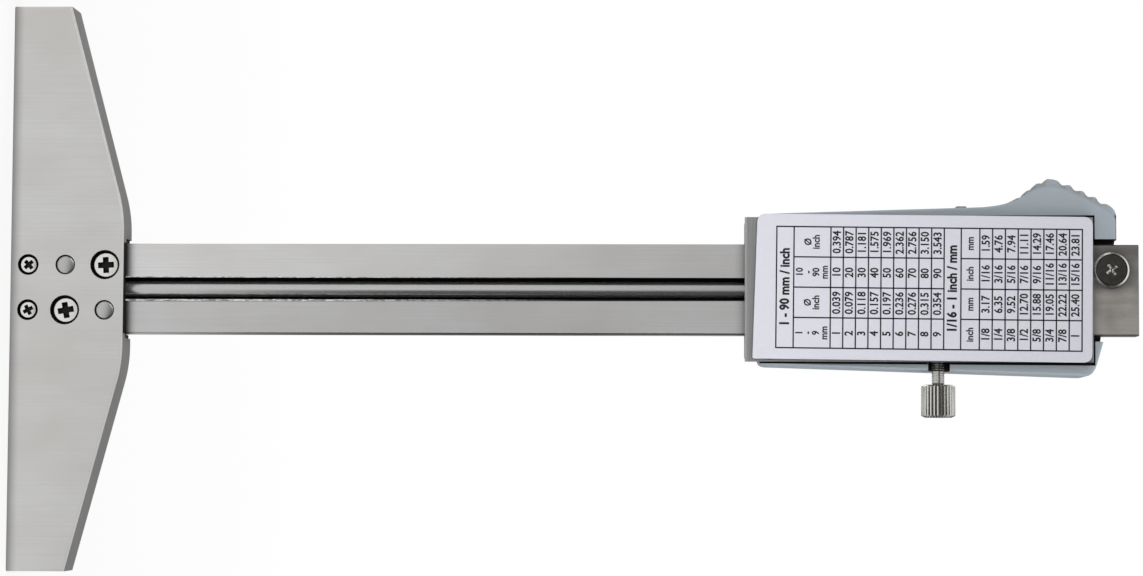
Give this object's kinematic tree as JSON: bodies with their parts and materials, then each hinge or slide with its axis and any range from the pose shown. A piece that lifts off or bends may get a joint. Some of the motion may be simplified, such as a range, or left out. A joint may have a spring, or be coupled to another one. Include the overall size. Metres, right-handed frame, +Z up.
{
  "type": "digital depth gauge",
  "caption": "Digital depth gauge: a T-shaped steel base carries a grooved beam with a round sliding depth rod, a slider with a display housing, a thumb rest and a knurled lock screw.",
  "frame": {"origin": "on the measuring face, under the middle of the gauge's width and depth: the gauge stands upright on its measuring face", "axes": "+Z up along the beam, away from the work; +Y towards the display side; +X towards the lock screw, -X towards the thumb rest"},
  "size_m": [0.1, 0.0172, 0.1985],
  "materials": {
    "ground_steel": "ground stainless steel",
    "beam_steel": "satin stainless steel, ground along its length",
    "polished_steel": "polished steel",
    "plated_steel": "bright zinc or nickel plated steel",
    "dark_steel": "blackened steel",
    "bronze": "bare bronze strip",
    "label_foil": "light painted foil label",
    "scale_film": "printed scale film on a laminate strip",
    "housing_plastic": "moulded blue-grey plastic",
    "button_plastic": "moulded dark blue plastic",
    "cover_plastic": "moulded grey plastic",
    "board_fibre": "green solder mask on glass fibre",
    "display_glass": "liquid crystal display panel",
    "clear_window": "clear acrylic window",
    "moulding": "black moulded plastic",
    "soft_rubber": "grey silicone rubber"
  },
  "bodies": {
    "base_and_beam": {"base_block": "ground_steel", "rod_guide": "ground_steel", "guide_screw_left": "plated_steel", "guide_screw_right": "plated_steel", "base_screw_left": "plated_steel", "base_screw_right": "plated_steel", "dowel_pin_left": "polished_steel", "dowel_pin_right": "polished_steel", "beam": "beam_steel", "scale_strip": "scale_film", "stop_screw": "dark_steel"},
    "slider": {"slider_frame": "ground_steel", "gib_set_screw_low": "dark_steel", "gib_set_screw_high": "dark_steel", "depth_rod": "polished_steel", "rod_clamp": "ground_steel", "back_plate": "ground_steel", "housing_screw_low_left": "dark_steel", "housing_screw_low_right": "dark_steel", "housing_screw_high_left": "dark_steel", "housing_screw_high_right": "dark_steel", "clamp_screw_low": "dark_steel", "clamp_screw_high": "dark_steel", "label_plate": "label_foil", "circuit_board": "board_fibre", "board_screw_low_left": "plated_steel", "board_screw_low_right": "plated_steel", "board_screw_high_left": "plated_steel", "board_screw_high_right": "plated_steel", "display_holder": "moulding", "zebra_connector": "soft_rubber", "display_panel": "display_glass", "display_window": "clear_window", "button_mat": "soft_rubber", "battery": "polished_steel", "contact_spring": "plated_steel", "contact_side": "plated_steel", "front_housing": "housing_plastic"},
    "gib": {"gib_strip": "bronze"},
    "locking_screw": {"lock_screw": "plated_steel"},
    "on_off_button": {"button_on_off": "button_plastic"},
    "zero_button": {"button_zero": "button_plastic"},
    "unit_button": {"button_unit": "button_plastic"},
    "cell_door": {"battery_door": "cover_plastic"},
    "data_cover": {"port_cover": "cover_plastic"}
  },
  "joints": [
    {"name": "slider_travel", "type": "slide", "parent": "base_and_beam", "child": "slider", "axis": [0, 0, -1], "range_m": [0, 0.1]},
    {"name": "gib_press", "type": "slide", "parent": "slider", "child": "gib", "axis": [-1, 0, 0], "range_m": [0, 0.00028]},
    {"name": "lock_screw_turn", "type": "hinge", "parent": "gib", "child": "locking_screw", "pos_m": [0.0192, -0.00305, 0.16363], "axis": [-1, 0, 0], "range_deg": [0, 252]},
    {"name": "on_off_press", "type": "slide", "parent": "slider", "child": "on_off_button", "axis": [0, -1, 0], "range_m": [0, 0.0005], "stiffness_N_per_m": 3000},
    {"name": "zero_press", "type": "slide", "parent": "slider", "child": "zero_button", "axis": [0, -1, 0], "range_m": [0, 0.0005], "stiffness_N_per_m": 3000},
    {"name": "unit_press", "type": "slide", "parent": "slider", "child": "unit_button", "axis": [0, -1, 0], "range_m": [0, 0.0005], "stiffness_N_per_m": 3000},
    {"name": "cell_door_slide", "type": "slide", "parent": "slider", "child": "cell_door", "axis": [0, 0, 1], "range_m": [0, 0.015]},
    {"name": "data_cover_slide", "type": "slide", "parent": "slider", "child": "data_cover", "axis": [0, 0, -1], "range_m": [0, 0.008]}
  ],
  "couplings": [
    {"joint": "lock_screw_turn", "follows": "gib_press", "rad_per_m": 15708}
  ]
}
